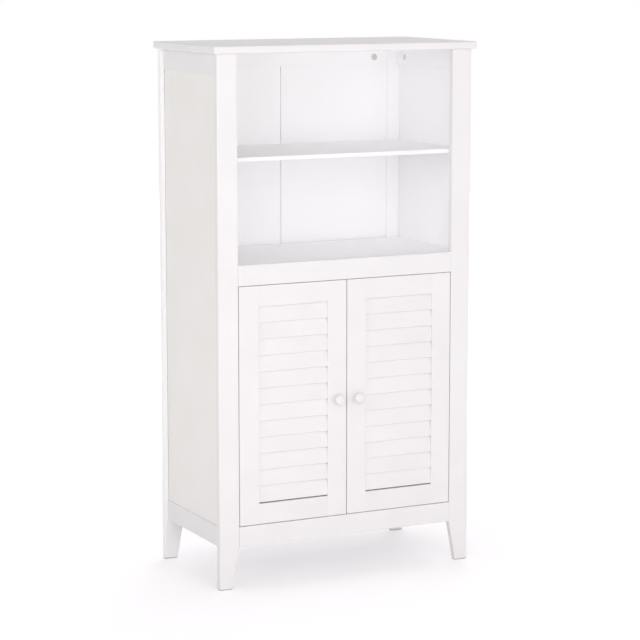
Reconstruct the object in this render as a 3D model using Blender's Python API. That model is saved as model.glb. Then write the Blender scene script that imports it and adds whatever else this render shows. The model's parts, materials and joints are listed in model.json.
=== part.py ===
# Tall free-standing bathroom cabinet: a frame of planks with thin panels, an open bay with one shelf
# above, and two inset doors with fixed louvres below.
# Metres, +Z up, the front faces -Y. The origin is on the floor, under the middle of the whole box.

import math

import bmesh
import bpy
from mathutils import Vector

# The whole cabinet, without the top board's overhang
HEIGHT = 1.150
CARCASS_WIDTH = 0.604
CARCASS_DEPTH = 0.312

# Room between pieces
GAP = 0.0003
DOOR_GAP = 0.002

# Top board
TOP_THICKNESS = 0.016
TOP_SIDE_OVERHANG = 0.009
TOP_FRONT_OVERHANG = 0.009
TOP_BACK_OVERHANG = 0.004
TOP_EDGE_RADIUS = 0.003
TOP_EDGE_SEGMENTS = 2

# Upright planks that end in tapered feet
STILE_WIDTH = 0.046
STILE_THICKNESS = 0.015
FOOT_WIDTH = 0.030

# Rails that join the planks
RAIL_HEIGHT = 0.044
LEG_HEIGHT = 0.090
SIDE_RAIL_THICKNESS = 0.015
SIDE_RAIL_RECESS = 0.007

# Thin panels in grooves
SIDE_PANEL_THICKNESS = 0.004
SIDE_PANEL_RECESS = 0.010
BACK_PANEL_THICKNESS = 0.004
BACK_PANEL_SETBACK = 0.003
BACK_SEAM_OFFSET = 0.012
BACK_SEAM_GAP = 0.0015
GROOVE_DEPTH = 0.005

# Shelf and boards
SHELF_THICKNESS = 0.009
SHELF_RISE = 0.224
SHELF_SETBACK = 0.002
BOARD_THICKNESS = 0.015
PEG_RADIUS = 0.003
PEG_LENGTH = 0.010
PEG_INSET = 0.033
PEG_SIDES = 12

# Doors
DOOR_HEIGHT = 0.512
DOOR_THICKNESS = 0.015
DOOR_STILE_WIDTH = 0.045
DOOR_TOP_RAIL_HEIGHT = 0.043
DOOR_BOTTOM_RAIL_HEIGHT = 0.044

# Louvre slats, let into the door stiles
SLAT_COUNT = 12
SLAT_THICKNESS = 0.005
SLAT_OVERLAP = 0.003
SLAT_SETBACK = 0.0012
SLAT_TILT = math.radians(10.5)
SLAT_TENON = 0.005
LOUVRE_BOTTOM_GAP = 0.0025

# Pivot pins that each door turns on
PIN_RADIUS = 0.003
PIN_ENGAGEMENT = 0.012
PIN_EDGE_DISTANCE = 0.014
PIN_SETBACK = 0.0065
PIN_COLLAR_RADIUS = 0.0055
PIN_SIDES = 16

# Knobs, turned from one piece
KNOB_DIAMETER = 0.025
KNOB_LENGTH = 0.022
KNOB_SIDES = 24
# Each point is a radius as a share of half the diameter, and a place along the length
KNOB_PROFILE_SHARES = (
    (0.0, 0.0),
    (0.62, 0.0),
    (0.62, 0.08),
    (0.46, 0.20),
    (0.48, 0.36),
    (0.80, 0.50),
    (0.97, 0.64),
    (1.0, 0.74),
    (0.92, 0.87),
    (0.68, 0.96),
    (0.34, 1.0),
    (0.0, 1.0),
)

# Magnetic catch behind the middle of the doors
CATCH_WIDTH = 0.046
CATCH_DEPTH = 0.014
CATCH_REACH = 0.014

# Eased edges of the boards, and how far a cutter runs past what it cuts
EDGE_EASE = 0.0008
PANEL_EASE = 0.0005
CUT_OVERRUN = 0.002

# Turned pieces: points this near to each other are one, and edges blunter than this look round
TURNING_MERGE = 0.00002
SMOOTH_ANGLE = math.radians(40)

# Paint and metal
PAINT_COLOR = (0.86, 0.845, 0.83)
PAINT_ROUGHNESS = 0.38
STEEL_COLOR = (0.62, 0.61, 0.60)
STEEL_ROUGHNESS = 0.30
CATCH_COLOR = (0.80, 0.79, 0.77)
CATCH_ROUGHNESS = 0.45
METAL = 1.0
NOT_METAL = 0.0

# Places across the cabinet
HALF_WIDTH = CARCASS_WIDTH / 2
OPENING_HALF = HALF_WIDTH - STILE_WIDTH
PANEL_FACE_X = HALF_WIDTH - SIDE_PANEL_RECESS
BOARD_END_X = PANEL_FACE_X - SIDE_PANEL_THICKNESS - GAP

# Places from front to back, with the knobs and the top board's back edge as the ends of the box
FRONT_REACH = max(GAP + KNOB_LENGTH, TOP_FRONT_OVERHANG)
OVERALL_DEPTH = FRONT_REACH + CARCASS_DEPTH + TOP_BACK_OVERHANG
FRONT_Y = FRONT_REACH - OVERALL_DEPTH / 2
BACK_Y = FRONT_Y + CARCASS_DEPTH
FRONT_INNER_Y = FRONT_Y + STILE_THICKNESS
BACK_INNER_Y = BACK_Y - STILE_THICKNESS

# Heights
FRAME_TOP = HEIGHT - TOP_THICKNESS - GAP
TOP_RAIL_BOTTOM = FRAME_TOP - RAIL_HEIGHT
BOTTOM_RAIL_TOP = LEG_HEIGHT + RAIL_HEIGHT
DOOR_BOTTOM = BOTTOM_RAIL_TOP + DOOR_GAP
DOOR_TOP = DOOR_BOTTOM + DOOR_HEIGHT
MID_RAIL_BOTTOM = DOOR_TOP + DOOR_GAP
FLOOR_TOP = MID_RAIL_BOTTOM + RAIL_HEIGHT
SHELF_TOP = FLOOR_TOP + SHELF_RISE
SHELF_UNDERSIDE = SHELF_TOP - SHELF_THICKNESS
FLOOR_UNDERSIDE = FLOOR_TOP - BOARD_THICKNESS
BOTTOM_BOARD_UNDERSIDE = BOTTOM_RAIL_TOP - BOARD_THICKNESS

# Louvre layout
LOUVRE_BOTTOM = DOOR_BOTTOM + DOOR_BOTTOM_RAIL_HEIGHT
LOUVRE_TOP = DOOR_TOP - DOOR_TOP_RAIL_HEIGHT
SLAT_PITCH = (LOUVRE_TOP - LOUVRE_BOTTOM - LOUVRE_BOTTOM_GAP) / SLAT_COUNT
SLAT_RISE = SLAT_PITCH + SLAT_OVERLAP
SLAT_EDGE_RISE = SLAT_THICKNESS * math.sin(SLAT_TILT)
SLAT_WIDTH = (SLAT_RISE - SLAT_EDGE_RISE) / math.cos(SLAT_TILT)
SLAT_DEPTH = SLAT_WIDTH * math.sin(SLAT_TILT) + SLAT_THICKNESS * math.cos(SLAT_TILT)

SIDES = (("left", -1), ("right", 1))


def clear_scene():
    for obj in list(bpy.data.objects):
        bpy.data.objects.remove(obj, do_unlink=True)


def give_material(obj, color, roughness, metallic):
    material = bpy.data.materials.new(obj.name + "_finish")
    material.use_nodes = True
    shader = material.node_tree.nodes["Principled BSDF"]
    shader.inputs["Base Color"].default_value = (*color, 1.0)
    shader.inputs["Roughness"].default_value = roughness
    shader.inputs["Metallic"].default_value = metallic
    material.diffuse_color = (*color, 1.0)
    obj.data.materials.append(material)


def paint(obj):
    give_material(obj, PAINT_COLOR, PAINT_ROUGHNESS, NOT_METAL)


def object_from(bm, name, location=Vector(), parent=None):
    bmesh.ops.recalc_face_normals(bm, faces=bm.faces)
    mesh = bpy.data.meshes.new(name)
    bm.to_mesh(mesh)
    bm.free()
    obj = bpy.data.objects.new(name, mesh)
    bpy.context.scene.collection.objects.link(obj)
    obj.location = location
    if parent:
        obj.parent = parent
        obj.location -= parent.location
    return obj


def block(name, low, high, parent=None):
    # A board between two opposite corners, in any order, with its origin at its middle
    low, high = Vector(low), Vector(high)
    bm = bmesh.new()
    bmesh.ops.create_cube(bm, size=1.0)
    bmesh.ops.scale(bm, vec=[abs(part) for part in high - low], verts=bm.verts)
    return object_from(bm, name, (low + high) / 2, parent)


def fill_prism(bm, outline, run):
    # Extrudes a closed outline of points along the vector run
    face = bm.faces.new([bm.verts.new(point) for point in outline])
    extruded = bmesh.ops.extrude_face_region(bm, geom=[face])["geom"]
    moved = [item for item in extruded if isinstance(item, bmesh.types.BMVert)]
    bmesh.ops.translate(bm, vec=run, verts=moved)


def fill_rod(bm, center, direction, radius, length, sides):
    turn = Vector((0, 0, 1)).rotation_difference(direction).to_matrix().to_4x4()
    turn.translation = center + direction * length / 2
    bmesh.ops.create_cone(
        bm, cap_ends=True, segments=sides, radius1=radius, radius2=radius, depth=length, matrix=turn
    )


def turned(name, profile, sides, location, parent):
    # Spins a profile of radius and height round Z. The profile starts and ends on the axis
    bm = bmesh.new()
    points = [bm.verts.new((radius, 0, height)) for radius, height in profile]
    for first, second in zip(points, points[1:]):
        bm.edges.new((first, second))
    bmesh.ops.spin(
        bm, geom=bm.verts[:] + bm.edges[:], cent=(0, 0, 0), axis=(0, 0, 1),
        angle=math.tau, steps=sides, use_merge=True,
    )
    bmesh.ops.remove_doubles(bm, verts=bm.verts, dist=TURNING_MERGE)
    obj = object_from(bm, name, location, parent)
    obj.data.shade_smooth()
    obj.data.set_sharp_from_angle(angle=SMOOTH_ANGLE)
    return obj


def ease(obj, width=EDGE_EASE, segments=1):
    bevel = obj.modifiers.new("eased_edges", "BEVEL")
    bevel.width = width
    bevel.segments = segments
    bevel.limit_method = "ANGLE"


def combine(obj, other, operation):
    boolean = obj.modifiers.new(operation.lower() + "_" + other.name, "BOOLEAN")
    boolean.operation = operation
    boolean.solver = "EXACT"
    boolean.object = other


def make_guide(obj):
    obj.hide_render = True
    obj.display_type = "WIRE"
    return obj


def grooved_for(panel_low, panel_high, name, boards):
    # Cuts the room for a panel, with its clearance, out of the boards that hold it
    room = Vector((GAP, GAP, GAP))
    low = Vector([min(pair) for pair in zip(panel_low, panel_high)])
    high = Vector([max(pair) for pair in zip(panel_low, panel_high)])
    cutter = make_guide(block(name, low - room, high + room))
    for board in boards:
        combine(board, cutter, "DIFFERENCE")


def add_pegs(stile, side, face_y, inward):
    # Short pegs on the inner face of a plank carry the shelf, the bay's floor and the bottom board
    bm = bmesh.new()
    for underside in (SHELF_UNDERSIDE, FLOOR_UNDERSIDE, BOTTOM_BOARD_UNDERSIDE):
        root = Vector((
            side * (HALF_WIDTH - PEG_INSET),
            face_y - inward * STILE_THICKNESS / 2,
            underside - GAP - PEG_RADIUS,
        ))
        length = STILE_THICKNESS / 2 + PEG_LENGTH
        fill_rod(bm, root, Vector((0, inward, 0)), PEG_RADIUS, length, PEG_SIDES)
    pegs = make_guide(object_from(bm, stile.name + "_pegs"))
    combine(stile, pegs, "UNION")


def make_stile(name, side, low_y):
    # The foot tapers on its inner edge only, below the bottom rail
    outline = (
        (0, 0),
        (FOOT_WIDTH, 0),
        (STILE_WIDTH, LEG_HEIGHT),
        (STILE_WIDTH, FRAME_TOP),
        (0, FRAME_TOP),
    )
    bm = bmesh.new()
    fill_prism(bm, [(-side * x, 0, z) for x, z in outline], (0, STILE_THICKNESS, 0))
    stile = object_from(bm, name, Vector((side * HALF_WIDTH, low_y, 0)))
    ease(stile)
    paint(stile)
    return stile


def make_board(name, low, high, parent=None):
    board = block(name, low, high, parent)
    ease(board)
    paint(board)
    return board


def make_top():
    half = HALF_WIDTH + TOP_SIDE_OVERHANG
    top = block(
        "top_board",
        (-half, FRONT_Y - TOP_FRONT_OVERHANG, HEIGHT - TOP_THICKNESS),
        (half, BACK_Y + TOP_BACK_OVERHANG, HEIGHT),
    )
    ease(top, TOP_EDGE_RADIUS, TOP_EDGE_SEGMENTS)
    paint(top)


def make_front_and_back_rails():
    # The front has a middle and a bottom rail, and the back a top and a bottom rail
    end = OPENING_HALF - GAP
    rows = (
        ("front_mid_rail", FRONT_Y, FRONT_INNER_Y, MID_RAIL_BOTTOM),
        ("front_bottom_rail", FRONT_Y, FRONT_INNER_Y, LEG_HEIGHT),
        ("back_top_rail", BACK_INNER_Y, BACK_Y, TOP_RAIL_BOTTOM),
        ("back_bottom_rail", BACK_INNER_Y, BACK_Y, LEG_HEIGHT),
    )
    return {
        name: make_board(name, (-end, low_y, low_z), (end, high_y, low_z + RAIL_HEIGHT))
        for name, low_y, high_y, low_z in rows
    }


def make_side(label, side, front_stile, back_stile):
    outer = side * (HALF_WIDTH - SIDE_RAIL_RECESS)
    inner = outer - side * SIDE_RAIL_THICKNESS
    front, back = FRONT_INNER_Y + GAP, BACK_INNER_Y - GAP
    rails = [
        make_board(f"side_{level}_rail_{label}", (outer, front, low_z), (inner, back, low_z + RAIL_HEIGHT))
        for level, low_z in (("top", TOP_RAIL_BOTTOM), ("bottom", LEG_HEIGHT))
    ]
    reach = GROOVE_DEPTH - GAP
    low = Vector((side * PANEL_FACE_X, FRONT_INNER_Y - reach, BOTTOM_RAIL_TOP - reach))
    high = Vector((
        side * (PANEL_FACE_X - SIDE_PANEL_THICKNESS),
        BACK_INNER_Y + reach,
        TOP_RAIL_BOTTOM + reach,
    ))
    panel = block(f"side_panel_{label}", low, high)
    ease(panel, PANEL_EASE)
    paint(panel)
    grooved_for(low, high, f"side_groove_{label}", rails + [front_stile, back_stile])


def make_back_panel(label, side, stile, rails):
    # Two thin panels meet at a seam that lies a little to one side of the middle
    reach = GROOVE_DEPTH - GAP
    front = BACK_INNER_Y + BACK_PANEL_SETBACK
    low = Vector((
        side * BACK_SEAM_GAP / 2 - BACK_SEAM_OFFSET,
        front,
        BOTTOM_RAIL_TOP - reach,
    ))
    high = Vector((side * (OPENING_HALF + reach), front + BACK_PANEL_THICKNESS, TOP_RAIL_BOTTOM + reach))
    panel = block(f"back_panel_{label}", low, high)
    ease(panel, PANEL_EASE)
    paint(panel)
    grooved_for(low, high, f"back_groove_{label}", rails + [stile])


def make_boards():
    front, back = FRONT_INNER_Y + GAP, BACK_INNER_Y - GAP
    bottom_end = HALF_WIDTH - SIDE_RAIL_RECESS - SIDE_RAIL_THICKNESS - GAP
    rows = (
        ("upper_shelf", BOARD_END_X, FRONT_INNER_Y + SHELF_SETBACK, SHELF_UNDERSIDE, SHELF_TOP),
        ("compartment_floor", BOARD_END_X, front, FLOOR_UNDERSIDE, FLOOR_TOP),
        ("bottom_board", bottom_end, front, BOTTOM_BOARD_UNDERSIDE, BOTTOM_RAIL_TOP),
    )
    for name, end, low_y, low_z, high_z in rows:
        make_board(name, (-end, low_y, low_z), (end, back, high_z))


def slat_block(name, index, low_x, high_x, room=0.0, parent=None):
    # The slat leans back from its low front edge
    half = Vector(((high_x - low_x) / 2, SLAT_THICKNESS / 2 + room, SLAT_WIDTH / 2 + room))
    slat = block(name, -half, half)
    low_z = LOUVRE_BOTTOM + LOUVRE_BOTTOM_GAP + index * SLAT_PITCH
    slat.location = ((low_x + high_x) / 2, FRONT_Y + SLAT_SETBACK + SLAT_DEPTH / 2, low_z + SLAT_RISE / 2)
    slat.rotation_euler = (-SLAT_TILT, 0, 0)
    if parent:
        slat.parent = parent
        slat.location -= parent.location
    return slat


def make_slats(label, low_x, high_x, pivot, stiles):
    # Each slat's ends go into mortises in both stiles
    for index in range(SLAT_COUNT):
        name = f"door_{label}_slat_{index + 1:02d}"
        tenon = SLAT_TENON - GAP
        slat = slat_block(name, index, low_x - tenon, high_x + tenon, parent=pivot)
        ease(slat)
        paint(slat)
        mortise = slat_block(name + "_mortise", index, low_x - SLAT_TENON, high_x + SLAT_TENON, GAP)
        make_guide(mortise)
        for stile in stiles:
            combine(stile, mortise, "DIFFERENCE")


def rebate_top_rail(label, low_x, high_x, top_rail):
    # The top slat ends behind the rail, in a rebate along the rail's low back corner
    top_z = LOUVRE_TOP + SLAT_OVERLAP + GAP
    slat_front = FRONT_Y + SLAT_SETBACK + (SLAT_PITCH - SLAT_EDGE_RISE) * math.tan(SLAT_TILT)
    rebate = make_guide(block(
        f"door_{label}_rebate",
        (low_x - CUT_OVERRUN, slat_front - GAP, LOUVRE_TOP - CUT_OVERRUN),
        (high_x + CUT_OVERRUN, FRONT_Y + DOOR_THICKNESS + CUT_OVERRUN, top_z),
    ))
    combine(top_rail, rebate, "DIFFERENCE")


def pin_place(side):
    return side * (OPENING_HALF - DOOR_GAP - PIN_EDGE_DISTANCE), FRONT_Y + PIN_SETBACK


def make_pins(label, side, pivot, hinge_stile, rails):
    # Each pin sits in the end of the door's stile, and turns in a hole in the rail past the gap
    x, y = pin_place(side)
    collar = DOOR_GAP / 2 - GAP
    profile = (
        (0, -PIN_ENGAGEMENT), (PIN_RADIUS, -PIN_ENGAGEMENT), (PIN_RADIUS, -collar),
        (PIN_COLLAR_RADIUS, -collar), (PIN_COLLAR_RADIUS, collar), (PIN_RADIUS, collar),
        (PIN_RADIUS, PIN_ENGAGEMENT), (0, PIN_ENGAGEMENT),
    )
    middles = (("lower", BOTTOM_RAIL_TOP + DOOR_GAP / 2), ("upper", DOOR_TOP + DOOR_GAP / 2))
    for (level, middle), rail in zip(middles, rails):
        pin = turned(f"door_{label}_pivot_{level}", profile, PIN_SIDES, Vector((x, y, middle)), pivot)
        give_material(pin, STEEL_COLOR, STEEL_ROUGHNESS, METAL)
        bm = bmesh.new()
        reach = PIN_ENGAGEMENT + GAP
        start = Vector((x, y, middle - reach))
        fill_rod(bm, start, Vector((0, 0, 1)), PIN_RADIUS + GAP, reach * 2, PIN_SIDES)
        hole = make_guide(object_from(bm, f"{pin.name}_hole"))
        combine(hinge_stile, hole, "DIFFERENCE")
        combine(rail, hole, "DIFFERENCE")


def make_knob(label, side, pivot):
    profile = [
        (radius_share * KNOB_DIAMETER / 2, length_share * KNOB_LENGTH)
        for radius_share, length_share in KNOB_PROFILE_SHARES
    ]
    place = Vector((
        side * (DOOR_GAP + DOOR_STILE_WIDTH) / 2,
        FRONT_Y - GAP,
        (DOOR_BOTTOM + DOOR_TOP) / 2,
    ))
    knob = turned(f"door_{label}_knob", profile, KNOB_SIDES, place, pivot)
    knob.rotation_euler = (math.radians(90), 0, 0)
    paint(knob)


def make_door(label, side, rails):
    x, y = pin_place(side)
    pivot = bpy.data.objects.new(f"door_{label}_axis", None)
    bpy.context.scene.collection.objects.link(pivot)
    pivot.location = (x, y, DOOR_BOTTOM)
    hinge_edge = side * (OPENING_HALF - DOOR_GAP)
    meeting_edge = side * DOOR_GAP / 2
    hinge_inner = hinge_edge - side * DOOR_STILE_WIDTH
    meeting_inner = meeting_edge + side * DOOR_STILE_WIDTH
    low_x, high_x = sorted((hinge_inner, meeting_inner))
    rows = (
        ("hinge_stile", hinge_edge, hinge_inner, DOOR_BOTTOM, DOOR_TOP),
        ("meeting_stile", meeting_edge, meeting_inner, DOOR_BOTTOM, DOOR_TOP),
        ("top_rail", low_x + GAP, high_x - GAP, LOUVRE_TOP, DOOR_TOP),
        ("bottom_rail", low_x + GAP, high_x - GAP, DOOR_BOTTOM, LOUVRE_BOTTOM),
    )
    frame = {}
    for part, first_x, second_x, low_z, high_z in rows:
        low = (first_x, FRONT_Y, low_z)
        high = (second_x, FRONT_Y + DOOR_THICKNESS, high_z)
        frame[part] = make_board(f"door_{label}_{part}", low, high, pivot)
    make_slats(label, low_x, high_x, pivot, (frame["hinge_stile"], frame["meeting_stile"]))
    rebate_top_rail(label, low_x, high_x, frame["top_rail"])
    make_pins(label, side, pivot, frame["hinge_stile"], rails)
    make_knob(label, side, pivot)


def make_catch():
    front = FRONT_INNER_Y + GAP
    catch = block(
        "magnetic_catch",
        (-CATCH_WIDTH / 2, front, DOOR_TOP - CATCH_REACH),
        (CATCH_WIDTH / 2, front + CATCH_DEPTH, MID_RAIL_BOTTOM + CATCH_REACH),
    )
    ease(catch)
    give_material(catch, CATCH_COLOR, CATCH_ROUGHNESS, NOT_METAL)


def make_cabinet():
    clear_scene()
    make_top()
    rails = make_front_and_back_rails()
    for label, side in SIDES:
        front_stile = make_stile(f"front_stile_{label}", side, FRONT_Y)
        back_stile = make_stile(f"back_stile_{label}", side, BACK_INNER_Y)
        make_side(label, side, front_stile, back_stile)
        make_back_panel(label, side, back_stile, [rails["back_top_rail"], rails["back_bottom_rail"]])
        add_pegs(front_stile, side, FRONT_INNER_Y, 1)
        add_pegs(back_stile, side, BACK_INNER_Y, -1)
        make_door(label, side, (rails["front_bottom_rail"], rails["front_mid_rail"]))
    make_boards()
    make_catch()


make_cabinet()
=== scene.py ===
import json
import math

import bmesh
import bpy
from mathutils import Matrix, Vector

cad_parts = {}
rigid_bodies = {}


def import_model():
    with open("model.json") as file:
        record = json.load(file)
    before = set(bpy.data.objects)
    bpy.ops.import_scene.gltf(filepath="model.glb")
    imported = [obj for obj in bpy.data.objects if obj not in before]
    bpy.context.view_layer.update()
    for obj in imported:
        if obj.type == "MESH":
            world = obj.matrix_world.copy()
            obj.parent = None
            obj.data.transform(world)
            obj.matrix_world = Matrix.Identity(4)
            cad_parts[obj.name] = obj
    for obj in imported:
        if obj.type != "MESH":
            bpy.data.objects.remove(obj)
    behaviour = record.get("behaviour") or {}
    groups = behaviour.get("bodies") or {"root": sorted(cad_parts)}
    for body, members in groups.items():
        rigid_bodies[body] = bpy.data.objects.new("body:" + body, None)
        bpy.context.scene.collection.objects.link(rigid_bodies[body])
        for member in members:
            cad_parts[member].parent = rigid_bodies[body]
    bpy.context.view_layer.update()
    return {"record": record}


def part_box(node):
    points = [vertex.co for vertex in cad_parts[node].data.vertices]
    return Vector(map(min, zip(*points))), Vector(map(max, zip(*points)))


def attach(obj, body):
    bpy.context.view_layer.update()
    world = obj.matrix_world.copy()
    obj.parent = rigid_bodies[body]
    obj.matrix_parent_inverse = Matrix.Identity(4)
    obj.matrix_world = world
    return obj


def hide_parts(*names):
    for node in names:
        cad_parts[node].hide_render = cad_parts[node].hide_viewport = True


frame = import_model()
bodyOf = {node: body for body, nodes in frame["record"]["behaviour"]["bodies"].items() for node in nodes}
slotOf = {part["node"]: part["material_slot"] for part in frame["record"]["subparts"]}
axes = {"x": Vector((1, 0, 0)), "y": Vector((0, 1, 0)), "z": Vector((0, 0, 1))}
inwards = {"left": 1, "right": -1}  # the way along X from each side towards the middle


# small helpers

def toLinear(hexText):  # sRGB hex to the linear colour that shaders use
    parts = [int(hexText[i:i + 2], 16) / 255 for i in (1, 3, 5)]
    return [c / 12.92 if c <= 0.04045 else ((c + 0.055) / 1.055) ** 2.4 for c in parts] + [1.0]


def inMetres(profile):  # from millimetres
    return [(radius / 1000, height / 1000) for radius, height in profile]


def addNode(tree, kind, settings=None, links=None):
    node = tree.nodes.new(kind)
    for name, value in (settings or {}).items():
        if isinstance(name, int) or name in node.inputs:
            node.inputs[name].default_value = value
        else:
            setattr(node, name, value)
    for socket, source in (links or {}).items():
        tree.links.new(source, node.inputs[socket])
    return node


def newFinish(name):  # a material with an empty node tree
    finish = bpy.data.materials.new(name)
    finish.use_nodes = True
    finish.node_tree.nodes.clear()
    return finish, finish.node_tree


def objectPlace(tree):
    return addNode(tree, "ShaderNodeTexCoord").outputs["Object"]


def noise(tree, scale, place, **settings):
    node = addNode(tree, "ShaderNodeTexNoise", {"Scale": scale, **settings}, {"Vector": place})
    return node.outputs["Fac"]


def blendColors(tree, first, second, share):
    colors = {"data_type": "RGBA", 6: toLinear(first), 7: toLinear(second)}
    return addNode(tree, "ShaderNodeMix", colors, {0: share}).outputs[2]


def between(tree, low, high, share, **settings):  # a value from low to high
    ends = {"To Min": low, "To Max": high, **settings}
    return addNode(tree, "ShaderNodeMapRange", ends, {"Value": share}).outputs[0]


def bump(tree, strength, depth, height, under=None):  # under: a bump that this one lies on
    links = {"Height": height}
    if under is not None:
        links["Normal"] = under
    return addNode(tree, "ShaderNodeBump", {"Strength": strength, "Distance": depth}, links).outputs[0]


def closeFinish(tree, settings, links):
    shader = addNode(tree, "ShaderNodeBsdfPrincipled", settings, links)
    addNode(tree, "ShaderNodeOutputMaterial", {}, {"Surface": shader.outputs[0]})


def seenDirectly(tree, *more):  # 1 where the camera or a mirror image sees it, 0 for the light it gives
    rays = addNode(tree, "ShaderNodeLightPath").outputs
    seen = rays["Is Camera Ray"]
    for kind in ("Is Glossy Ray", *more):
        seen = addNode(tree, "ShaderNodeMath", {"operation": "MAXIMUM"}, {0: seen, 1: rays[kind]}).outputs[0]
    return seen


def addPiece(name, bm, finish, slot, body, stands=()):
    bmesh.ops.recalc_face_normals(bm, faces=bm.faces)
    mesh = bpy.data.meshes.new(name)
    bm.to_mesh(mesh)
    bm.free()
    mesh.materials.append(finish)
    piece = bpy.data.objects.new(name, mesh)
    bpy.context.collection.objects.link(piece)
    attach(piece, body)
    if stands:
        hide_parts(*stands)
    return piece


def blockMesh(low, high, turn=None):  # a block between two corners, turned about its middle
    bm = bmesh.new()
    bmesh.ops.create_cube(bm, size=1)
    size = Vector(high) - Vector(low)
    bmesh.ops.scale(bm, vec=size, verts=bm.verts)
    place = Matrix.Translation((Vector(low) + Vector(high)) / 2) @ (turn or Matrix())
    bmesh.ops.transform(bm, matrix=place, verts=bm.verts)
    return bm


def turnedMesh(profile, sides, start, axis):  # profile of (radius, height) spun round the axis through start
    bm = bmesh.new()
    rings = []
    for radius, height in profile:
        if radius < 1e-7:
            rings.append([bm.verts.new((0, 0, height))])
            continue
        ring = []
        for k in range(sides):
            angle = math.tau * k / sides
            ring.append(bm.verts.new((radius * math.cos(angle), radius * math.sin(angle), height)))
        rings.append(ring)
    for low, high in zip(rings, rings[1:]):
        for k in range(sides):
            corners = [low[k % len(low)], low[(k + 1) % len(low)], high[(k + 1) % len(high)], high[k % len(high)]]
            corners = [v for i, v in enumerate(corners) if v not in corners[:i]]
            bm.faces.new(corners)
    turn = axes["z"].rotation_difference(Vector(axis)).to_matrix().to_4x4()
    bmesh.ops.transform(bm, matrix=Matrix.Translation(Vector(start)) @ turn, verts=bm.verts)
    return bm


def roundEdges(piece, radius, segments=3, sharper=None):
    # sharper gives the sides ("+x", "-z") that butt against a neighbour, and the share of the radius left there
    bm = bmesh.new()
    bm.from_mesh(piece.data)
    weight = bm.edges.layers.float.new("bevel_weight_edge")
    for edge in bm.edges:
        shares = []
        for face in edge.link_faces:
            key = max("xyz", key=lambda k: abs(face.normal.dot(axes[k])))
            sign = "+" if face.normal.dot(axes[key]) > 0 else "-"
            shares.append((sharper or {}).get(sign + key, 1.0))
        edge[weight] = min(shares)
    bm.to_mesh(piece.data)
    bm.free()
    bevel = piece.modifiers.new("edges", "BEVEL")
    bevel.width = radius
    bevel.segments = segments
    bevel.limit_method = "WEIGHT"


def cutWith(piece, bm):
    mesh = bpy.data.meshes.new("cut")
    bmesh.ops.recalc_face_normals(bm, faces=bm.faces)
    bm.to_mesh(mesh)
    bm.free()
    cutter = bpy.data.objects.new("cut", mesh)
    bpy.context.collection.objects.link(cutter)
    cut = piece.modifiers.new("cut", "BOOLEAN")
    cut.operation = "DIFFERENCE"
    cut.object = cutter


def settle(piece):  # applies the modifiers, removes the cutters and shades the faces flat but the edges round
    cutters = [m.object for m in piece.modifiers if m.type == "BOOLEAN"]
    for polygon in piece.data.polygons:
        polygon.use_smooth = True
    weigh = piece.modifiers.new("weigh", "WEIGHTED_NORMAL")
    weigh.keep_sharp = True
    bpy.context.view_layer.update()
    graph = bpy.context.evaluated_depsgraph_get()
    done = bpy.data.meshes.new_from_object(piece.evaluated_get(graph))
    piece.modifiers.clear()
    piece.data = done
    for cutter in cutters:
        bpy.data.objects.remove(cutter)


def smoothUpTo(piece, degrees):  # round faces look round, and sharper corners than this stay sharp
    piece.data.shade_smooth()
    piece.data.set_sharp_from_angle(angle=math.radians(degrees))


def boxMiddle(node):
    low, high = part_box(node)
    return (Vector(low) + Vector(high)) / 2


# camera at the photograph's viewing angle

camera = {
    "place": (-2.26943, -4.53499, 1.34395),
    "turn": 26.676,  # degrees towards +X from looking along +Y
    "down": 9.000,
    "lens": 131.281,
    "sensor": 36,
    "farthest": 200,  # metres that it sees
}


def placeCamera(values):
    data = bpy.data.cameras.new("photoCamera")
    data.lens = values["lens"]
    data.sensor_width = values["sensor"]
    data.clip_end = values["farthest"]
    cam = bpy.data.objects.new("photoCamera", data)
    cam.location = values["place"]
    cam.rotation_euler = (math.radians(90 - values["down"]), 0, math.radians(-values["turn"]))
    bpy.context.collection.objects.link(cam)
    bpy.context.scene.camera = cam


placeCamera(camera)
print("camera placed")


# finishes

lacquer = {
    "board": {"hex": "#F2F0F0", "shade": "#EEECED", "roughness": 0.42, "streak": 0.5, "peel": 0.5},
    # inner is a brighter copy of board for the pieces inside the bay: painted light that offsets the bay's shade
    "inner": {"hex": "#FBFBFC", "shade": "#F9F9FA", "roughness": 0.42, "streak": 0.5, "peel": 0.5},
    "door": {"hex": "#F2EFF0", "shade": "#EEEBEC", "roughness": 0.40, "streak": 0.4, "peel": 0.5},
    "panel": {"hex": "#F7F5F3", "shade": "#F4F2EF", "roughness": 0.50, "streak": 0.15, "peel": 0.8},
    # backPanel is a brighter copy of panel for the pieces inside the bay: painted light in the same way
    "backPanel": {"hex": "#FAFAFB", "shade": "#F8F8F9", "roughness": 0.50, "streak": 0.15, "peel": 0.8},
    "knob": {"hex": "#F0ECED", "shade": "#ECE8E9", "roughness": 0.34, "streak": 0.1, "peel": 0.4},
    # the grey backing foil under the bottom board; its grey is painted shade that darkens the floor's shadow beneath
    # the cabinet
    "shadeDarkeningBacking": {"hex": "#CCC9CC", "shade": "#C6C3C6", "roughness": 0.62, "streak": 0.1, "peel": 1.0},
}

coat = {
    # sizes in metres; sanding marks are really 1 mm across and orange peel 2 mm, and both are coarser here to show
    "markLength": 0.150,
    "markAcross": 0.005,  # between sanding marks
    "markDepth": 0.00012,
    "peelAcross": 0.004,
    "peelDepth": 0.00010,
    "filmAcross": 0.120,  # the film's thickness varies over this length
    "smoother": 0.04,  # how far the roughness varies down and up with the peel
    "rougher": 0.05,
}


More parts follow.
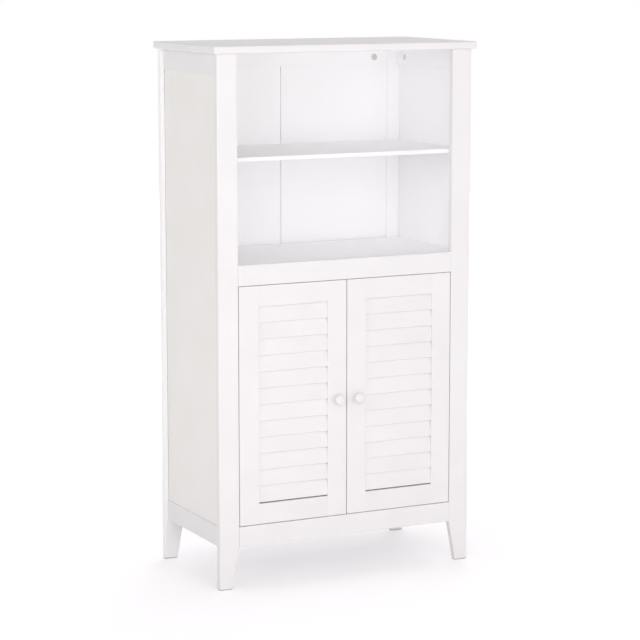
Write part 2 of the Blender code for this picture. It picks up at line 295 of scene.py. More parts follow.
def satinLacquer(name, along, values):
    # White satin lacquer, sprayed on MDF and turned beech: an almost even white that shows no wood,
    # with a soft sheen, a fine orange peel and a trace of sanding along each board's length.
    finish, tree = newFinish(name)
    place = objectPlace(tree)
    board = addNode(tree, "ShaderNodeObjectInfo").outputs["Random"]
    place = addNode(tree, "ShaderNodeVectorMath", {"operation": "ADD"}, {0: place, 1: board}).outputs[0]
    scale = [1 / coat["markLength"] if key == along else 1 / coat["markAcross"] for key in "xyz"]
    lie = addNode(tree, "ShaderNodeMapping", {"Scale": scale}, {"Vector": place}).outputs[0]
    sanding = noise(tree, 1.0, lie, Detail=3.0, Roughness=0.6)
    peel = noise(tree, 1 / coat["peelAcross"], place, Detail=2.0, Roughness=0.4)
    film = noise(tree, 1 / coat["filmAcross"], place, Detail=2.0, Roughness=0.5)
    tint = between(tree, 0.0, 1.0, film, **{"From Min": 0.3, "From Max": 0.7})
    color = blendColors(tree, values["hex"], values["shade"], tint)
    gloss = between(tree, values["roughness"] - coat["smoother"], values["roughness"] + coat["rougher"], peel)
    lines = bump(tree, values["streak"], coat["markDepth"], sanding)
    skin = bump(tree, values["peel"], coat["peelDepth"], peel, lines)
    closeFinish(tree, {"IOR": 1.5, "Metallic": 0.0}, {"Base Color": color, "Roughness": gloss, "Normal": skin})
    return finish


metals = {
    "zincPlate": {"hex": "#B9BBBE", "dark": "#A3A5A9", "roughness": 0.28, "grain": 0.0006},
    "dieCastZinc": {"hex": "#ECEBE9", "dark": "#DDDCDA", "roughness": 0.48, "grain": 0.0012},
    "nickelPlate": {"hex": "#C6C1B8", "dark": "#B3AEA5", "roughness": 0.22, "grain": 0.0008},
    "cloudAcross": 0.006,  # metres, like the grain
    "grainBump": 0.3,
    "grainDepth": 0.00003,
    "smoother": 0.08,
    "rougher": 0.12,
}


def platedMetal(name, values):
    # Zinc- or nickel-plated steel and die-cast zinc: a cool grey metal, its gloss broken by a fine grain
    finish, tree = newFinish(name)
    place = objectPlace(tree)
    grain = noise(tree, 1 / values["grain"], place, Detail=3.0)
    cloud = noise(tree, 1 / metals["cloudAcross"], place, Detail=2.0)
    color = blendColors(tree, values["hex"], values["dark"], cloud)
    gloss = between(tree, values["roughness"] - metals["smoother"], values["roughness"] + metals["rougher"], grain)
    skin = bump(tree, metals["grainBump"], metals["grainDepth"], grain)
    closeFinish(tree, {"Metallic": 1.0}, {"Base Color": color, "Roughness": gloss, "Normal": skin})
    return finish


plastic = {
    "hex": "#E9E7E2",
    "dark": "#E1DED8",
    "roughness": 0.48,
    "gritAcross": 0.0008,
    "gritBump": 0.25,
    "gritDepth": 0.00005,
    "cloudAcross": 0.02,
}


def mouldedPlastic(name, values):
    # Injection-moulded ABS, fine spark-eroded texture: matt, slightly warm white
    finish, tree = newFinish(name)
    place = objectPlace(tree)
    grit = addNode(tree, "ShaderNodeTexVoronoi", {"Scale": 1 / values["gritAcross"]}, {"Vector": place})
    cloud = noise(tree, 1 / values["cloudAcross"], place, Detail=2.0)
    color = blendColors(tree, values["hex"], values["dark"], cloud)
    skin = bump(tree, values["gritBump"], values["gritDepth"], grit.outputs["Distance"])
    settings = {"Metallic": 0.0, "IOR": 1.53, "Roughness": values["roughness"]}
    closeFinish(tree, settings, {"Base Color": color, "Normal": skin})
    return finish


# real felt pads lift the feet; their grey is partly painted shade, standing in for the contact shadow line under each
# foot
felt = {
    "hex": "#C8C1BD",
    "dark": "#B8B1AD",
    "roughness": 0.95,
    "fibreAcross": 0.0003,  # ten times the real wool's, so that it shows
    "fibreBump": 0.5,
    "fibreDepth": 0.0002,
}


def woolFelt(name, values):
    # Pressed wool felt, warm grey: matt, with a tangle of fine fibres; its grey also paints the contact shade under the
    # feet
    finish, tree = newFinish(name)
    fibres = noise(tree, 1 / values["fibreAcross"], objectPlace(tree), Detail=4.0, Distortion=1.5)
    color = blendColors(tree, values["hex"], values["dark"], fibres)
    skin = bump(tree, values["fibreBump"], values["fibreDepth"], fibres)
    settings = {"Metallic": 0.0, "IOR": 1.5, "Roughness": values["roughness"]}
    closeFinish(tree, settings, {"Base Color": color, "Normal": skin})
    return finish


boardAlong = {key: satinLacquer("lacqueredBoard_" + key, key, lacquer["board"]) for key in "xyz"}
# brighter copies for the pieces inside the bay: painted light against the bay's shade
paintedLightInsideAlong = {key: satinLacquer("lacqueredInside_" + key, key, lacquer["inner"]) for key in "xyz"}
doorAlong = {key: satinLacquer("lacqueredDoor_" + key, key, lacquer["door"]) for key in "xz"}
panelFinish = satinLacquer("lacqueredHardboard", "z", lacquer["panel"])
paintedLightPanelFinish = satinLacquer("lacqueredBackboard", "z", lacquer["backPanel"])
knobFinish = satinLacquer("lacqueredBeech", "y", lacquer["knob"])
shadeDarkeningBacking = satinLacquer("greyShadeBacking", "x", lacquer["shadeDarkeningBacking"])
zincPlate = platedMetal("zincPlatedSteel", metals["zincPlate"])
dieCastZinc = platedMetal("dieCastZinc", metals["dieCastZinc"])
nickelPlate = platedMetal("nickelPlatedSteel", metals["nickelPlate"])
whitePlastic = mouldedPlastic("mouldedAbs", plastic)
feltPadShadeLine = woolFelt("pressedFeltShadeLine", felt)
print("finishes mixed")


# frame of the cabinet

fit = 0.0003  # room round whatever sits in a groove, mortise or hole
proud = 0.002  # how far a cutter stands out of the face that it cuts
paintedLightInside = (  # nodes that show inside the open bay, in a brighter copy of the same lacquer: painted light that offsets the bay's shade
    "back_panel_left", "back_panel_right", "back_top_rail", "back_bottom_rail", "back_stile_left", "back_stile_right",
    "upper_shelf", "compartment_floor", "bottom_board",
    "side_panel_right", "side_top_rail_right", "side_bottom_rail_right",
)

pivots = {
    # radius and height in millimetres, from the pin's lower end
    "profile": [
        (0.0, 0.0), (2.3, 0.0), (3.0, 0.7), (3.0, 11.3), (5.2, 11.3), (5.5, 11.6), (5.5, 12.4), (5.2, 12.7),
        (3.0, 12.7), (3.0, 23.3), (2.3, 24.0), (0.0, 24.0),
    ],
    "sides": 40,
    "sharpAbove": 35,  # degrees between faces that stay a sharp corner
    "pinRadius": 0.003,
    "collarRadius": 0.0055,
    "collarThickness": 0.0014,
}

carcass = {
    "edge": 0.0012,  # radius of the boards' eased edges
    "topEdge": 0.0030,
    "panelEdge": 0.0006,
    "jointShare": 0.25,  # share of the radius left where a board butts against its neighbour
    "seamStrip": (0.012, 0.003),  # half its width, its thickness
    "stripGap": 0.0001,  # between the strip and the panels
    "stripShort": 0.0005,  # between the strip and the rails above and below
    "panelGap": (0.0008, 0.0003),  # between a side panel's outer and inner face and the edges of its groove
    "plank": 0.015,
    "plankWidth": 0.046,
    "footWidth": 0.030,
    "footLift": 0.0017,  # thickness of the felt pads under the feet
    "padInset": 0.0006,
    "padEdge": 0.0004,
}

cams = {
    # radius and height in millimetres, from the rail's inner face
    "profile": [
        (0, -6.7), (7.5, -6.7), (7.5, -3.3), (7.1, -2.9), (6.6, -2.8), (6.1, -2.9), (5.9, -3.2), (3.4, -3.2),
        (3.0, -2.8), (0, -2.8),
    ],
    "sides": 48,
    "sunk": 0.0028,  # its face, below the rail's
    "bore": 0.0077,
    "boreDepth": 0.0070,
    "recess": (0.0052, 0.0011, 0.0016),  # length, width and depth of its cross
    "turn": 20,  # degrees that the cross is turned, and how much more on each further cam
    "turnMore": 37,
    "sharpAbove": 30,
    "setback": 0.034,  # from the rail's end to the middle of the cam
    "rise": 0.0163,  # from the rail's lower edge
}


def camSpots(values):  # rail, middle of the cam on the rail's inner face, and the way it faces
    facing = {
        "back_top_rail": -axes["y"], "back_bottom_rail": -axes["y"],
        "front_mid_rail": axes["y"], "front_bottom_rail": axes["y"],
        "side_top_rail_left": axes["x"], "side_bottom_rail_left": axes["x"],
        "side_top_rail_right": -axes["x"], "side_bottom_rail_right": -axes["x"],
    }
    for rail, way in facing.items():
        low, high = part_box(rail)
        across = 1 if way.x else 0
        for end in (low[across] + values["setback"], high[across] - values["setback"]):
            spot = Vector((0, 0, low[2] + values["rise"]))
            spot[across] = end
            spot[1 - across] = high[1 - across] if way[1 - across] > 0 else low[1 - across]
            yield rail, spot, way


def pinHole(pin, values):  # a bore with a wider well for the pin's collar
    low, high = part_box(pin)
    middle = boxMiddle(pin)
    tall = high[2] - low[2]
    radius, collar, thick = values["pinRadius"] + fit, values["collarRadius"] + fit, values["collarThickness"]
    start, end = (tall - thick) / 2 - fit, (tall + thick) / 2 + fit
    profile = [
        (0, -fit), (radius, -fit), (radius, start), (collar, start),
        (collar, end), (radius, end), (radius, tall + fit), (0, tall + fit),
    ]
    return turnedMesh(profile, values["sides"], (middle.x, middle.y, low[2]), axes["z"])


def groove(piece, panel, outer=0.0, inner=0.0):  # outer and inner: how far it stands open beside a side panel
    low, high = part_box(panel)
    around = Vector((fit, fit, fit))
    low, high = Vector(low) - around, Vector(high) + around
    if panel.startswith("side"):
        low.x -= outer if low.x < 0 else inner
        high.x += inner if low.x < 0 else outer
    cutWith(piece, blockMesh(low, high))


# pieces inside the bay take the brighter copies of the lacquer: painted light against the bay's shade
def finishOf(node, along):
    if slotOf[node] == "painted_panels":
        return paintedLightPanelFinish if node in paintedLightInside else panelFinish
    return (paintedLightInsideAlong if node in paintedLightInside else boardAlong)[along]


def addBoard(node, along, edge, segments=3, panels=(), sharper=None):
    bm = blockMesh(*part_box(node))
    piece = addPiece(node + "_board", bm, finishOf(node, along), slotOf[node], bodyOf[node], [node])
    roundEdges(piece, edge, segments, sharper)
    for panel in panels:
        groove(piece, panel)
    radius, depth = cams["bore"], cams["boreDepth"]
    for rail, spot, way in camSpots(cams):
        if rail == node:
            profile = [(0, -depth), (radius, -depth), (radius, proud), (0, proud)]
            cutWith(piece, turnedMesh(profile, cams["sides"], spot, way))
    pinLevel = {"front_mid_rail": "upper", "front_bottom_rail": "lower"}.get(node)
    if pinLevel:
        for side in inwards:
            cutWith(piece, pinHole(f"door_{side}_pivot_{pinLevel}", pivots))
    settle(piece)
    return piece


def addPlank(end, side, values):
    # the foot tapers on its inner edge, from the bottom rail down
    node = f"{end}_stile_{side}"
    low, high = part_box(node)
    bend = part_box("front_bottom_rail")[0][2]
    sign = inwards[side]
    outer = low[0] if side == "left" else high[0]
    near = low[1] if end == "front" else high[1] - values["plank"]
    lift, wide = values["footLift"], values["plankWidth"]
    outline = [(0, lift), (values["footWidth"], lift), (wide, bend), (wide, high[2]), (0, high[2])]
    bm = bmesh.new()
    rows = [[bm.verts.new((outer + sign * x, near + y, z)) for x, z in outline] for y in (0, values["plank"])]
    bm.faces.new(rows[0])
    bm.faces.new(rows[1])
    for k in range(len(outline)):
        j = (k + 1) % len(outline)
        bm.faces.new((rows[0][k], rows[0][j], rows[1][j], rows[1][k]))
    piece = addPiece(node + "_plank", bm, finishOf(node, "z"), slotOf[node], bodyOf[node], [node])
    roundEdges(piece, values["edge"], sharper={"+z": values["jointShare"]})
    groove(piece, "side_panel_" + side, *values["panelGap"])
    if end == "back":
        groove(piece, "back_panel_" + side)
    settle(piece)
    # a felt pad under the foot, whose grey also paints the dark line of contact shade below it
    inset = values["padInset"]
    ends = sorted((outer + sign * inset, outer + sign * (values["footWidth"] - inset)))
    padLow = (ends[0], near + inset, 0)
    padHigh = (ends[1], near + values["plank"] - inset, lift)
    pad = addPiece(f"pad_{end}_{side}", blockMesh(padLow, padHigh), feltPadShadeLine, "catch_plastic", bodyOf[node])
    roundEdges(pad, values["padEdge"], 2)
    settle(pad)


def addSeamStrip(values):  # hardboard stapled behind the seam of the back panels closes it
    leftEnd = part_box("back_panel_left")[1]
    rightStart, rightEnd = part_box("back_panel_right")
    middle = (leftEnd[0] + rightStart[0]) / 2
    half, thick = values["seamStrip"]
    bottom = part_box("back_bottom_rail")[1][2] + values["stripShort"]
    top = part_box("back_top_rail")[0][2] - values["stripShort"]
    bm = blockMesh((middle - half, rightEnd[1] + values["stripGap"], bottom), (middle + half, rightEnd[1] + thick, top))
    strip = addPiece("back_seam_strip", bm, paintedLightPanelFinish, "painted_panels", bodyOf["back_panel_left"])
    roundEdges(strip, values["panelEdge"], 2)
    settle(strip)


def buildCarcass(values):
    for end in ("front", "back"):
        for side in inwards:
            addPlank(end, side, values)
    joint, edge = values["jointShare"], values["edge"]
    endOn = {"+x": joint, "-x": joint}
    sideOn = {"+y": joint, "-y": joint}
    addBoard("top_board", "x", values["topEdge"], 5)
    addBoard("front_mid_rail", "x", edge, sharper=endOn)
    addBoard("front_bottom_rail", "x", edge, sharper=endOn)
    backPanels = ("back_panel_left", "back_panel_right")
    addBoard("back_top_rail", "x", edge, panels=backPanels, sharper=endOn)
    addBoard("back_bottom_rail", "x", edge, panels=backPanels, sharper=endOn)
    for side in inwards:
        for level in ("top", "bottom"):
            addBoard(f"side_{level}_rail_{side}", "y", edge, panels=["side_panel_" + side], sharper=sideOn)
        addBoard("side_panel_" + side, "z", values["panelEdge"], 2)
        addBoard("back_panel_" + side, "z", values["panelEdge"], 2)
    addBoard("upper_shelf", "x", edge)
    addBoard("compartment_floor", "x", edge)
    bottom = addBoard("bottom_board", "x", edge)
    bottom.data.materials.append(shadeDarkeningBacking)
    for polygon in bottom.data.polygons:
        if polygon.normal.z < -0.9:  # its underside is grey backing foil, whose grey darkens the shade on the floor beneath
            polygon.material_index = 1
    addSeamStrip(values)


buildCarcass(carcass)
print("carcass built")


# doors with their louvres

doors = {
    "edge": 0.0009,
    "upper": 0.0009,  # how much the paint and the planing of each edge leave the door larger than its plan
    "lower": 0.0005,
    "outer": {"left": 0.0004, "right": 0.0},  # at the pins' side
    "openingShare": 0.25,  # share of the radius left round the louvre opening
    "jointShare": 0.08,  # and where stile and rail meet, which the paint has filled
    "slatEndShare": 0.1,
    "jointFill": 0.00028,
    "slats": 12,
    "slatEdge": 0.0010,
    "slatDrop": 0.0010,  # how much the paint lowers the slats' edges
    "slotEnd": 0.0028,  # how far a slat's slot runs on below it in the stiles
    "slatThickness": 0.0058,  # with its paint
    "slatLean": 10.5,  # degrees from upright, the top towards the back
    "rebate": 0.0033,  # height of the rebate that takes the top slat
    "rebateRoom": 0.0012,  # in front of the top slat
    "beyond": 0.01,  # how far the rebate's cutter reaches past the rail
    "plate": (0.0140, 0.0010, 0.0120),  # the catch's strike plate, let into the back of the door
    "plateMiddle": (0.012, 0.641),  # from the middle of the cabinet, and height
    "plateEdge": 0.0004,
    "plateScrewSunk": 0.0001,  # below the plate's face
    # countersunk hole in the plate: radius and height in millimetres from its face
    "sink": [(0, -3.0), (1.8, -3.0), (4.0, 0.1), (4.0, 2.0), (0, 2.0)],
    "sinkSides": 40,
    "plateTurn": 30,  # degrees that the cross of the plate's screw is turned
    "knobTurn": 55,  # and that of the knob's screw
}


def slatMesh(node, values, room=0.0, longer=0.0, below=0.0):
    low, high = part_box(node)
    lean = math.radians(values["slatLean"])
    thick = values["slatThickness"]
    width = (high[2] - low[2] - thick * math.sin(lean)) / math.cos(lean)
    rise = Vector((0, math.sin(lean), math.cos(lean)))
    middle = boxMiddle(node) - rise * below / 2 - axes["z"] * values["slatDrop"]
    half = Vector(((high[0] - low[0]) / 2 + longer, thick / 2 + room, (width + below) / 2 + room))
    return blockMesh(middle - half, middle + half, Matrix.Rotation(-lean, 4, "X"))


def platePlace(side, values, room=0.0):
    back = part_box(f"door_{side}_meeting_stile")[1][1]
    wide, deep, tall = values["plate"]
    x, z = values["plateMiddle"]
    middle = Vector((-inwards[side] * x, back - deep / 2, z))
    half = Vector((wide / 2 + room, deep / 2, tall / 2 + room))
    return middle - half, middle + half


def addStile(side, part, slats, values):
    node = f"door_{side}_{part}"
    low, high = (Vector(corner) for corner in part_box(node))
    low.z -= values["lower"]
    high.z += values["upper"]
    hinged = part == "hinge_stile"
    if hinged and side == "left":
        low.x -= values["outer"][side]
    elif hinged:
        high.x += values["outer"][side]
    piece = addPiece(node + "_board", blockMesh(low, high), doorAlong["z"], "painted_doors", bodyOf[node], [node])
    towardsOpening = "+x" if hinged == (side == "left") else "-x"
    roundEdges(piece, values["edge"], sharper={towardsOpening: values["openingShare"]})
    for slat in slats:
        cutWith(piece, slatMesh(slat, values, room=fit / 2, longer=fit, below=values["slotEnd"]))
    if hinged:
        for level in ("lower", "upper"):
            cutWith(piece, pinHole(f"door_{side}_pivot_{level}", pivots))
    else:
        lowest, highest = platePlace(side, values, room=fit)
        cutWith(piece, blockMesh(lowest, highest + axes["y"] * proud))
    settle(piece)


def addRail(side, part, slats, values):
    node = f"door_{side}_{part}"
    atTop = part == "top_rail"
    low, high = (Vector(corner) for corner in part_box(node))
    if atTop:
        high.z += values["upper"]
    else:
        low.z -= values["lower"]
    longer = Vector((values["jointFill"], 0, 0))  # paint closes the joint with the stiles
    bm = blockMesh(low - longer, high + longer)
    piece = addPiece(node + "_board", bm, doorAlong["x"], "painted_doors", bodyOf[node], [node])
    sharper = {"+x": values["jointShare"], "-x": values["jointShare"]}
    sharper["-z" if atTop else "+z"] = values["openingShare"]
    roundEdges(piece, values["edge"], sharper=sharper)
    if atTop:
        # the top slat ends in a rebate along the low back corner
        lean = math.tan(math.radians(values["slatLean"]))
        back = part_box(slats[-1])[1][1]
        front = back - values["slatThickness"] - values["rebate"] * lean - values["rebateRoom"]
        beyond = values["beyond"]
        lowest = (low.x - beyond, front, low.z - beyond)
        highest = (high.x + beyond, high.y + beyond, low.z + values["rebate"])
        cutWith(piece, blockMesh(lowest, highest))
    settle(piece)


def addSlat(node, values):
    piece = addPiece(node + "_board", slatMesh(node, values), doorAlong["x"], "painted_doors", bodyOf[node], [node])
    share = values["slatEndShare"]
    roundEdges(piece, values["slatEdge"], 4, {"+x": share, "-x": share})
    settle(piece)


def buildDoor(side, values):
    slats = [f"door_{side}_slat_{k:02d}" for k in range(1, values["slats"] + 1)]
    for part in ("hinge_stile", "meeting_stile"):
        addStile(side, part, slats, values)
    for part in ("top_rail", "bottom_rail"):
        addRail(side, part, slats, values)
    for slat in slats:
        addSlat(slat, values)


for side in inwards:
    buildDoor(side, doors)
print("doors built")


# knobs and pivot pins

knobs = {
    # radius and height of each ring in millimetres, from the door outwards
    "profile": [
        (0.0, 0.0), (7.2, 0.0), (7.75, 0.4), (7.75, 1.5), (7.2, 2.0), (6.4, 2.7), (5.85, 3.8), (5.75, 5.4), (5.9, 7.0),
        (6.5, 8.6), (7.7, 9.9), (9.2, 11.0), (10.7, 12.4), (11.6, 14.1), (12.0, 16.2), (11.8, 17.9), (11.0, 19.3),
        (9.6, 20.4), (7.7, 21.2), (5.2, 21.7), (2.7, 21.95), (0.0, 22.0),
    ],
    "sides": 64,
}


def addKnob(node, values):
    middle, back = boxMiddle(node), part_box(node)[1][1]
    bm = turnedMesh(inMetres(values["profile"]), values["sides"], (middle.x, back, middle.z), -axes["y"])
    piece = addPiece(node + "_turned", bm, knobFinish, slotOf[node], bodyOf[node], [node])
    piece.data.shade_smooth()


def addPin(node, values):
    middle, bottom = boxMiddle(node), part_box(node)[0][2]
    bm = turnedMesh(inMetres(values["profile"]), values["sides"], (middle.x, middle.y, bottom), axes["z"])
    piece = addPiece(node + "_turned", bm, zincPlate, slotOf[node], bodyOf[node], [node])
    smoothUpTo(piece, values["sharpAbove"])


for side in inwards:
    addKnob(f"door_{side}_knob", knobs)
    for level in ("lower", "upper"):
        addPin(f"door_{side}_pivot_{level}", pivots)
print("knobs and pivots turned")


# fittings

screws = {
    # half section of a countersunk head and of a domed head, in millimetres from the face outwards
    "flat": [(0, -2.2), (1.7, -2.2), (3.55, -0.35), (3.7, -0.05), (3.5, 0.0), (0, 0.0)],
    "domed": [
        (0, -1.0), (2.0, -1.0), (2.0, 0.0), (4.5, 0.0), (4.55, 0.35), (4.1, 1.1), (3.0, 1.75), (1.6, 2.1), (0, 2.2),
    ],
    "sides": 36,
    "recess": (0.0040, 0.0009, 0.0012),  # length, width and depth of the cross
    "sharpAbove": 40,
    "taper": 0.45,  # length of a cross's arms at their bottom, as a share of that at the face
}


def crossCut(piece, spot, way, recess, turn):  # a cross recess, narrower at its bottom
    length, width, depth = recess
    for quarter in (0, 90):
        bm = bmesh.new()
        bmesh.ops.create_cube(bm, size=1)
        for vert in bm.verts:
            share = 1.0 if vert.co.z > 0 else screws["taper"]
            vert.co = Vector((vert.co.x * length * share, vert.co.y * width, vert.co.z * 2 * depth))
        spin = axes["z"].rotation_difference(way).to_matrix().to_4x4()
        place = Matrix.Translation(spot) @ spin @ Matrix.Rotation(math.radians(quarter + turn), 4, "Z")
        bmesh.ops.transform(bm, matrix=place, verts=bm.verts)
        cutWith(piece, bm)


def addScrew(name, kind, spot, body, turn):  # every screw is turned in from behind
    way = axes["y"]
    profile = inMetres(screws[kind])
    piece = addPiece(name, turnedMesh(profile, screws["sides"], spot, way), zincPlate, "pin_steel", body)
    crossCut(piece, Vector(spot) + way * profile[-1][1], way, screws["recess"], turn)
    settle(piece)
    piece.data.set_sharp_from_angle(angle=math.radians(screws["sharpAbove"]))


def addCams(values):
    for number, (rail, spot, way) in enumerate(camSpots(values), 1):
        bm = turnedMesh(inMetres(values["profile"]), values["sides"], spot, way)
        piece = addPiece(f"cam_{number:02d}_{rail}", bm, dieCastZinc, "pin_steel", bodyOf[rail])
        turn = values["turn"] + values["turnMore"] * number
        crossCut(piece, spot - way * values["sunk"], way, values["recess"], turn)
        settle(piece)
        piece.data.set_sharp_from_angle(angle=math.radians(values["sharpAbove"]))


pegs = {
    # radius and height in millimetres, from the plank inwards
    "profile": [
        (0, 0), (3.0, 0), (3.0, 1.6), (2.7, 1.9), (2.7, 2.3), (3.0, 2.6), (3.0, 8.9), (2.6, 9.7), (2.0, 10.0),
        (0, 10.0),
    ],
    "sides": 32,
    "sharpAbove": 35,
    "inset": 0.033,  # from the plank's outer edge to the peg
    "under": ("upper_shelf", "compartment_floor", "bottom_board"),
}


def addPegs(values):
    profile = inMetres(values["profile"])
    radius = profile[1][0]
    for node in values["under"]:
        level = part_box(node)[0][2] - fit - radius
        for end, way in (("front", axes["y"]), ("back", -axes["y"])):
            for side, sign in inwards.items():
                plank = f"{end}_stile_{side}"
                low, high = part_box(plank)
                x = (low[0] if side == "left" else high[0]) + sign * values["inset"]
                y = low[1] + carcass["plank"] if end == "front" else high[1] - carcass["plank"]
                bm = turnedMesh(profile, values["sides"], (x, y, level), way)
                peg = addPiece(f"peg_{node}_{end}_{side}", bm, zincPlate, "pin_steel", bodyOf[plank])
                smoothUpTo(peg, values["sharpAbove"])


catch = {
    "edge": 0.0015,
    "screwSpread": 0.015,
    "screwDrop": 0.007,  # from the top of the housing
    # well for a screw: radius and height in millimetres from the housing's back
    "well": [(0, -5.2), (4.8, -5.2), (5.2, 2.0), (0, 2.0)],
    "wellSides": 40,
    "screwSunk": 0.0041,
    "screwTurns": (15, 65),
    "pole": (0.016, 0.0012, 0.0010),  # width, depth and thickness of a magnet's steel pole
    "poleEdge": 0.0002,
    "poleSunk": 0.0007,  # from the housing's front to the pole's middle
    "poleSlot": 0.0015,  # depth of its slot
    "poleRoom": 0.00015,
    "poleSpread": 0.012,
    "poleRise": 0.007,
    "poleLift": 0.0028,  # the two poles of a magnet lie this far above and below its middle
}


def addCatch(values):
    # a housing screwed to the back of the rail, with a magnet's two poles for each door
    node = "magnetic_catch"
    low, high = (Vector(corner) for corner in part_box(node))
    body = bodyOf[node]
    piece = addPiece(node + "_housing", blockMesh(low, high), whitePlastic, slotOf[node], body, [node])
    roundEdges(piece, values["edge"])
    wide, deep, thick = values["pole"]
    room, lift = values["poleRoom"], values["poleLift"]
    slotHalf = Vector((wide / 2 + room, values["poleSlot"], thick / 2 + room))
    poleHalf = Vector((wide / 2, deep / 2, thick / 2))
    height = low.z + values["poleRise"]
    halves = []
    for sign in (-1, 1):
        middles = [Vector((sign * values["poleSpread"], low.y, height + rise)) for rise in (-lift, lift)]
        for middle in middles:
            cutWith(piece, blockMesh(middle - slotHalf, middle + slotHalf))
        spot = Vector((sign * values["screwSpread"], high.y, high.z - values["screwDrop"]))
        cutWith(piece, turnedMesh(inMetres(values["well"]), values["wellSides"], spot, axes["y"]))
        halves.append((middles, spot))
    settle(piece)
    for k, (middles, spot) in enumerate(halves):
        for number, middle in enumerate(middles, 2 * k + 1):
            middle = middle + axes["y"] * values["poleSunk"]
            bm = blockMesh(middle - poleHalf, middle + poleHalf)
            pole = addPiece(f"catch_pole_{number}", bm, nickelPlate, "pin_steel", body)
            roundEdges(pole, values["poleEdge"], 2)
            settle(pole)
        spot = spot - axes["y"] * values["screwSunk"]
        addScrew(f"catch_screw_{k + 1}", "domed", spot, body, values["screwTurns"][k])


def addDoorFittings(side, values):
    stile = f"door_{side}_meeting_stile"
    body = bodyOf[stile]
    low, high = platePlace(side, values)
    plate = addPiece(f"strike_plate_{side}", blockMesh(low, high), nickelPlate, "pin_steel", body)
    roundEdges(plate, values["plateEdge"])
    spot = Vector(((low.x + high.x) / 2, high.y, (low.z + high.z) / 2))
    cutWith(plate, turnedMesh(inMetres(values["sink"]), values["sinkSides"], spot, axes["y"]))
    settle(plate)
    addScrew(f"strike_screw_{side}", "flat", spot - axes["y"] * values["plateScrewSunk"], body, values["plateTurn"])
    knob = boxMiddle(f"door_{side}_knob")
    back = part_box(stile)[1][1]
    addScrew(f"knob_screw_{side}", "domed", (knob.x, back, knob.z), body, values["knobTurn"])


addCams(cams)
addPegs(pegs)
addCatch(catch)
for side in inwards:
    addDoorFittings(side, doors)
print("fittings added")


# floor and light

room = {
    "color": (1.0, 0.983, 0.988, 1.0),  # daylight through a softbox, a trace of rose
    "level": 0.875,  # how bright the room is near the horizon
    "overhead": 0.35,  # and straight above
    "bounces": 10,  # light goes to and fro many times inside a white bay
    "lamps": {
        # watts, place, point aimed at, size in metres (two sides: a narrow beam)
        "keyLight": (17.0, (-1.61, -3.17, 1.18), (0, 0, 0.62), 2.0),
        "frontLight": (21.0, (0.00, -3.50, 1.50), (0, 0, 0.65), 2.0),
        "leftLight": (6.2, (-2.62, -2.05, 1.90), (0, 0, 0.75), 1.0),
        "sideLight": (6.9, (-3.03, -1.42, 1.85), (0, 0, 0.75), 1.0),
        "lowLight": (0.55, (-0.15, -1.25, 0.25), (0, 0, 0.20), 0.7),
        "bayLight": (0.026, (-0.15, -0.52, 1.09), (0.03, 0.15, 1.02), 0.25),
        "bayStrip": (0.025, (-0.06, -0.31, 1.105), (-0.06, 0.15, 1.135), (0.50, 0.03)),
        "bayCorner": (0.018, (-0.15, -0.35, 1.10), (0.29, 0.12, 1.14), (0.06, 0.06)),
        "shelfStrip": (0.009, (0.05, -0.31, 0.885), (0.05, 0.15, 0.91), (0.44, 0.02)),
        "backFill": (24.0, (1.60, 2.30, 1.50), (0, 0, 0.60), 1.8),
        "floorLight": (23.0, (-0.05, 0.40, 5.00), (-0.05, 0, 0), 1.2),
    },
    "floorLamps": ("floorLight",),  # light the floor alone
    "bayLamps": ("bayLight", "bayStrip", "bayCorner", "shelfStrip"),  # light the inside of the bay alone
    "beam": 34,  # degrees of a narrow beam
    "floorRadius": 8.0,
    "floorSides": 96,
    "floorSunk": 0.0002,
    "floorHex": "#F2F2F2",
    "floorSeen": "#E1DEE1",  # what the camera sees of the floor's light, on top of its glow
    "floorGlow": 0.40,
    "glowFrom": 0.75,  # metres from the cabinet where the floor starts to fade into white
    "glowTo": 1.60,
}


def buildWorld(values):
    world = bpy.data.worlds.new("paleRoom")
    bpy.context.scene.world = world
    world.use_nodes = True
    tree = world.node_tree
    tree.nodes.clear()
    seen = seenDirectly(tree, "Is Transmission Ray")
    way = addNode(tree, "ShaderNodeTexCoord").outputs["Generated"]
    rise = addNode(tree, "ShaderNodeSeparateXYZ", {}, {0: way}).outputs["Z"]
    strength = between(tree, values["level"], values["overhead"], rise)
    light = addNode(tree, "ShaderNodeBackground", {"Color": values["color"]}, {"Strength": strength})
    white = addNode(tree, "ShaderNodeBackground", {"Color": (1, 1, 1, 1), "Strength": 1.0})
    blend = addNode(tree, "ShaderNodeMixShader", {}, {0: seen, 1: light.outputs[0], 2: white.outputs[0]})
    addNode(tree, "ShaderNodeOutputWorld", {}, {"Surface": blend.outputs[0]})


def insidePieces():  # the inside of the bay without its shelf
    nodes = [node for node in paintedLightInside if node != "upper_shelf"]
    return [piece for piece in bpy.data.objects if piece.name.rpartition("_")[0] in nodes]


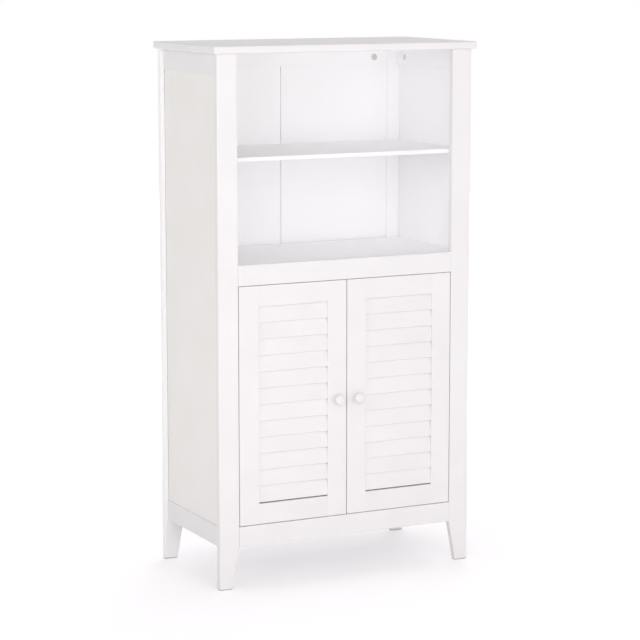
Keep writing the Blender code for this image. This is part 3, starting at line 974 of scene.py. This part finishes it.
def addLamps(values, floor):
    for name, (watts, place, aim, size) in values["lamps"].items():
        light = bpy.data.lights.new(name, "AREA")
        light.energy = watts
        if isinstance(size, tuple):
            light.shape = "RECTANGLE"
            light.size, light.size_y = size
            light.spread = math.radians(values["beam"])
        else:
            light.size = size
        light.color = values["color"][:3]
        lamp = bpy.data.objects.new(name, light)
        bpy.context.collection.objects.link(lamp)
        lamp.location = place
        lamp.rotation_euler = (Vector(aim) - Vector(place)).to_track_quat("-Z", "Y").to_euler()
        lamp.visible_camera = False
        lamp.visible_glossy = False
        if name in values["floorLamps"] + values["bayLamps"]:
            lit = bpy.data.collections.new("litBy_" + name)
            lamp.light_linking.receiver_collection = lit
            for piece in [floor] if name in values["floorLamps"] else insidePieces():
                lit.objects.link(piece)


def buildFloor(values):
    # matt white floor that fades into the white background away from the cabinet and keeps its shadow
    finish, tree = newFinish("paleFloor")
    seen = seenDirectly(tree)
    away = addNode(tree, "ShaderNodeVectorMath", {"operation": "LENGTH"}, {0: objectPlace(tree)}).outputs["Value"]
    fade = {"interpolation_type": "SMOOTHSTEP", "From Min": values["glowFrom"], "From Max": values["glowTo"]}
    glow = between(tree, values["floorGlow"], 1.0, away, **fade)
    matt = addNode(tree, "ShaderNodeBsdfDiffuse", {"Color": toLinear(values["floorHex"])})
    dim = addNode(tree, "ShaderNodeBsdfDiffuse", {"Color": toLinear(values["floorSeen"])})
    shine = addNode(tree, "ShaderNodeEmission", {"Color": (1, 1, 1, 1)}, {"Strength": glow})
    look = addNode(tree, "ShaderNodeAddShader", {}, {0: dim.outputs[0], 1: shine.outputs[0]})
    blend = addNode(tree, "ShaderNodeMixShader", {}, {0: seen, 1: matt.outputs[0], 2: look.outputs[0]})
    addNode(tree, "ShaderNodeOutputMaterial", {}, {"Surface": blend.outputs[0]})
    bm = bmesh.new()
    bmesh.ops.create_circle(bm, cap_ends=True, segments=values["floorSides"], radius=values["floorRadius"])
    bmesh.ops.translate(bm, vec=(0, 0, -values["floorSunk"]), verts=bm.verts)
    mesh = bpy.data.meshes.new("floor")
    bm.to_mesh(mesh)
    bm.free()
    mesh.materials.append(finish)
    floor = bpy.data.objects.new("floor", mesh)
    bpy.context.collection.objects.link(floor)
    return floor


buildWorld(room)
addLamps(room, buildFloor(room))
bpy.context.scene.view_settings.view_transform = "Standard"
bpy.context.scene.cycles.diffuse_bounces = room["bounces"]
print("room lit")
